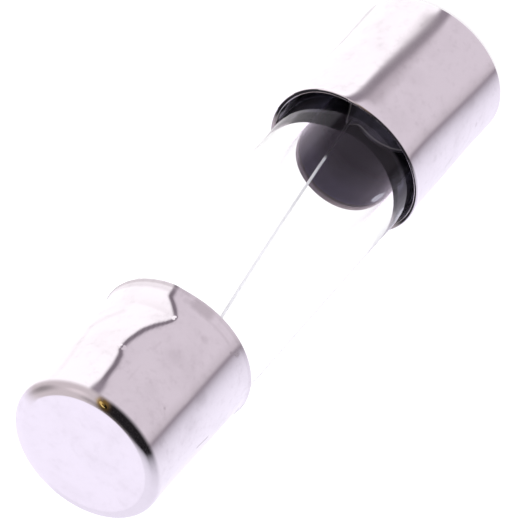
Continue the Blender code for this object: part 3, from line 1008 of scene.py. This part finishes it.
def facing(graph, direction, view):
    """Map a direction to the side of a mirror that shows it to the camera: angle across and tilt up."""
    east, north, up = graph.vector("NORMALIZE", graph.vector("SUBTRACT", direction, view)).parts()
    across = graph.math("ARCTAN2", -east, -north) * math.degrees(1.0)
    tilt = graph.math("ARCSINE", up) * math.degrees(1.0)
    return across, tilt


def tent_sides(graph, studio, across):
    """Light round the fuse: white on the left, the grey table between two dark edges, paler on the right."""
    table = blend(graph, across.smooth(*TABLE_SHADE), studio.tent_grey, studio.tent_shade)
    left = across.smooth(*LEFT_EDGE_START) * across.smooth(*LEFT_EDGE_END)
    sides = blend(graph, across.smooth(*TABLE_START), studio.tent_white, table)
    sides = blend(graph, left, sides, studio.tent_edge)
    fade = graph.math("MINIMUM", graph.math("EXPONENT", (across - RIGHT_EDGE[1]) * -0.12), 1.0)
    right = blend(graph, fade, studio.tent_pale, studio.tent_edge)
    return blend(graph, across.smooth(*RIGHT_EDGE), sides, right)


def tent_patch(graph, across, tilt, middle, reach):
    """1 in the middle of a patch of the tent and 0 outside it, softly."""
    over = (across - middle[0]) / reach[0]
    up = (tilt - middle[1]) / reach[1]
    return graph.math("SQRT", over * over + up * up).smooth(1.0, 0.1)


def tent_top(graph, studio, across, tilt):
    """Light over the fuse: a dark room in front, grey cloth on the left, lilac cloth on the right and behind."""
    cloth = blend(graph, across.smooth(*CLOTH_END), studio.tent_cloth, studio.tent_lilac)
    for middle, reach, level in CLOTH_FOLDS:
        folds = tent_patch(graph, across, tilt, middle, reach)
        cloth = blend(graph, folds, cloth, shade(studio.tent_cloth, level))
    seam = blend(graph, tilt.smooth(*SEAM_RISE), studio.tent_rust, shade(studio.tent_rust, 0.4))
    dark = blend(graph, tilt.smooth(*ROOM_RISE), studio.tent_dark, studio.tent_dusk)
    edge = 37.0 - graph.math("MAXIMUM", tilt - 63.0, 0.0) * 0.8
    fade = graph.math("MINIMUM", graph.math("EXPONENT", (edge - across) / 10.5), 1.0)
    right = blend(graph, fade, shade(studio.tent_lilac, 0.88), dark)
    left = blend(graph, across.smooth(*SEAM_START), cloth, seam)
    return blend(graph, across.smooth(*ROOM_START), left, right)


def tent_world():
    """Light tent as a world, with a table and a dark room in its opening on the camera's side."""
    studio = bpy.context.scene.fuse_studio
    world = bpy.data.worlds.new("light_tent")
    world.use_nodes = True
    bpy.context.scene.world = world
    tree = world.node_tree
    graph = Field(tree)
    background = tree.nodes["Background"]

    direction = graph.node("TexCoord")
    view = (0.0, math.cos(studio.camera_height), -math.sin(studio.camera_height))
    across, tilt = facing(graph, direction, view)
    sides = tent_sides(graph, studio, across)
    front = across.smooth(-32.0, -14.0)
    rise = ((tilt - 2.0 - front * 12.0) / (38.0 - front * 6.0)).smooth(0.0, 1.0)
    tent = blend(graph, rise, sides, tent_top(graph, studio, across, tilt))
    tent = blend(graph, tilt.smooth(*ZENITH), tent, studio.tent_lilac)

    camera_ray, clear_ray, glossy_ray = ray_kinds(graph, "Camera", "Transmission", "Glossy")
    shown = blend(graph, glossy_ray, studio.tent_glow, tent)
    onwards = graph.vector("DOT_PRODUCT", direction, view)
    behind = blend(graph, onwards.smooth(0.5, 0.9), studio.tent_veil, studio.tent_backdrop)
    inside = blend(graph, onwards.smooth(-0.2, 0.3), blend(graph, 0.2, tent, studio.tent_haze), behind)
    shown = blend(graph, clear_ray, shown, inside)
    shown = blend(graph, camera_ray, shown, (1.0, 1.0, 1.0))
    tree.links.new(shown.socket, background.inputs["Color"])
    background.inputs["Strength"].default_value = 1.0


def add_lamp():
    """Soft square lamp aimed at the fuse, which the metal and the glass don't show."""
    studio = bpy.context.scene.fuse_studio
    data = bpy.data.lights.new("overhead_lamp", "AREA")
    data.size = studio.lamp_side
    data.energy = studio.lamp_power
    lamp = bpy.data.objects.new("overhead_lamp", data)
    turn = (-LAMP_PLACE).to_track_quat("-Z", "Y").to_matrix().to_4x4()
    lamp.matrix_world = Matrix.Translation(LAMP_PLACE) @ turn
    lamp.visible_glossy = False
    lamp.visible_transmission = False
    bpy.context.scene.collection.objects.link(lamp)


class FUSE_OT_stage(bpy.types.Operator):
    """Make the camera, the floor, the light tent and the lamp"""

    bl_idname = "fuse.stage"
    bl_label = "Stage"
    bl_options = {"REGISTER", "UNDO"}

    def execute(self, context):
        context.scene.view_settings.view_transform = "Standard"
        add_camera()
        add_floor()
        tent_world()
        add_lamp()
        return {"FINISHED"}


PIECE_OPERATORS = (FUSE_OT_end_caps, FUSE_OT_glass_tube, FUSE_OT_solder, FUSE_OT_fuse_wire, FUSE_OT_stage)


class FUSE_PT_workshop(bpy.types.Panel):
    """Buttons that build the fuse, and its sizes"""

    bl_idname = "FUSE_PT_workshop"
    bl_label = "Glass Cartridge Fuse"
    bl_space_type = "VIEW_3D"
    bl_region_type = "UI"
    bl_category = "Fuse"

    def draw(self, context):
        layout = self.layout
        for operator in PIECE_OPERATORS:
            layout.operator(operator.bl_idname)
        for group in (context.scene.fuse_sizes, context.scene.fuse_finishes, context.scene.fuse_studio):
            box = layout.box()
            for name in group.__annotations__:
                box.prop(group, name)


CLASSES = (FUSE_PG_sizes, FUSE_PG_finishes, FUSE_PG_studio) + PIECE_OPERATORS + (FUSE_PT_workshop,)


def register():
    """Register the classes and hang the settings on the scene."""
    for item in CLASSES:
        bpy.utils.register_class(item)
    bpy.types.Scene.fuse_sizes = PointerProperty(type=FUSE_PG_sizes)
    bpy.types.Scene.fuse_finishes = PointerProperty(type=FUSE_PG_finishes)
    bpy.types.Scene.fuse_studio = PointerProperty(type=FUSE_PG_studio)


def unregister():
    """Take the settings off the scene and unregister the classes."""
    del bpy.types.Scene.fuse_studio
    del bpy.types.Scene.fuse_finishes
    del bpy.types.Scene.fuse_sizes
    for item in reversed(CLASSES):
        bpy.utils.unregister_class(item)


def main():
    """Build the whole fuse and its stage."""
    register()
    bpy.ops.fuse.end_caps()
    bpy.ops.fuse.glass_tube()
    bpy.ops.fuse.solder()
    bpy.ops.fuse.fuse_wire()
    bpy.ops.fuse.stage()


if __name__ == "__main__":
    main()
